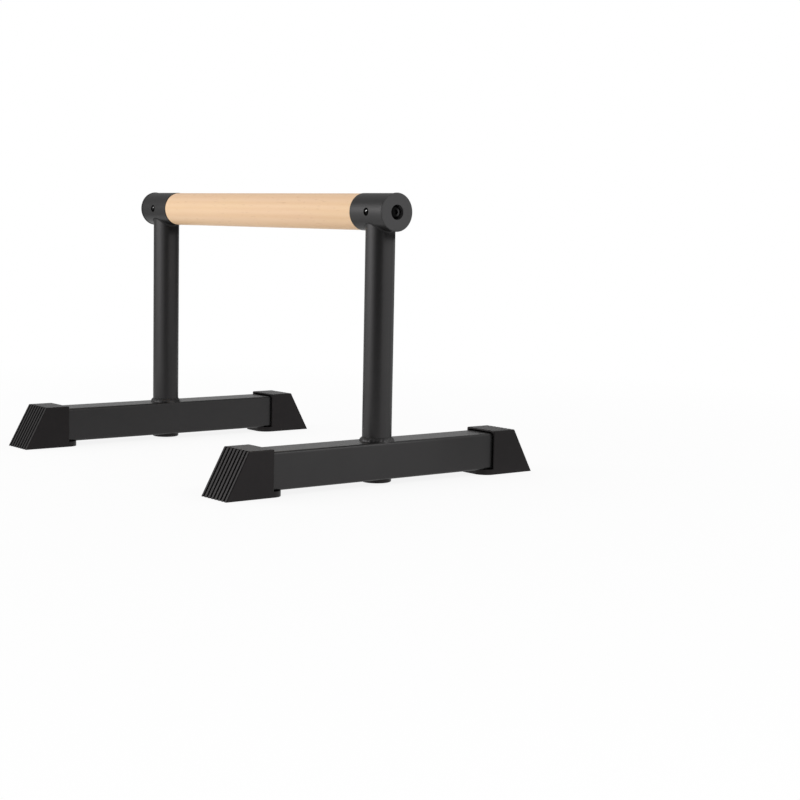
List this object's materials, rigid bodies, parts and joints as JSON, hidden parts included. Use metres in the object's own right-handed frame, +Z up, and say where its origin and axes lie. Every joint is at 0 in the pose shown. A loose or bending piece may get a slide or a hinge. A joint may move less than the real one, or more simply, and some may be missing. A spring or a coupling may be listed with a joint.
{
  "type": "parallette bar",
  "caption": "Free-standing parallette: a round wooden grip bar on welded steel posts and floor beams with ribbed rubber feet, for push-ups, L-sits and handstands.",
  "frame": {"origin": "on the floor under the middle of the handle, at the centre of the footprint", "axes": "+X along the handle to the front stand, +Y along the floor beams, +Z up"},
  "size_m": [0.4964, 0.41, 0.3094],
  "materials": {
    "wood": "fine-grained pale hardwood, sanded, thin clear matt coat",
    "powder_coat": "satin black powder coat with fine orange peel",
    "rubber": "matt black moulded rubber",
    "plug_plastic": "fine matt moulded black plastic",
    "black_bolt": "black oxide, lightly oiled",
    "zinc_steel": "bright zinc plate",
    "insert_brass": "turned brass"
  },
  "bodies": {
    "root": {"handle": "wood", "front_socket": "powder_coat", "front_post": "powder_coat", "front_beam": "powder_coat", "front_saddle_weld": "powder_coat", "front_base_weld": "powder_coat", "front_right_foot": "rubber", "front_left_foot": "rubber", "front_end_plug": "plug_plastic", "front_end_washer": "black_bolt", "front_end_bolt": "black_bolt", "front_handle_insert": "insert_brass", "front_lock_screw": "black_bolt", "front_centre_pad": "rubber", "front_pad_washer": "zinc_steel", "front_pad_screw": "zinc_steel", "rear_socket": "powder_coat", "rear_post": "powder_coat", "rear_beam": "powder_coat", "rear_saddle_weld": "powder_coat", "rear_base_weld": "powder_coat", "rear_right_foot": "rubber", "rear_left_foot": "rubber", "rear_end_plug": "plug_plastic", "rear_end_washer": "black_bolt", "rear_end_bolt": "black_bolt", "rear_handle_insert": "insert_brass", "rear_lock_screw": "black_bolt", "rear_centre_pad": "rubber", "rear_pad_washer": "zinc_steel", "rear_pad_screw": "zinc_steel"}
  },
  "joints": []
}
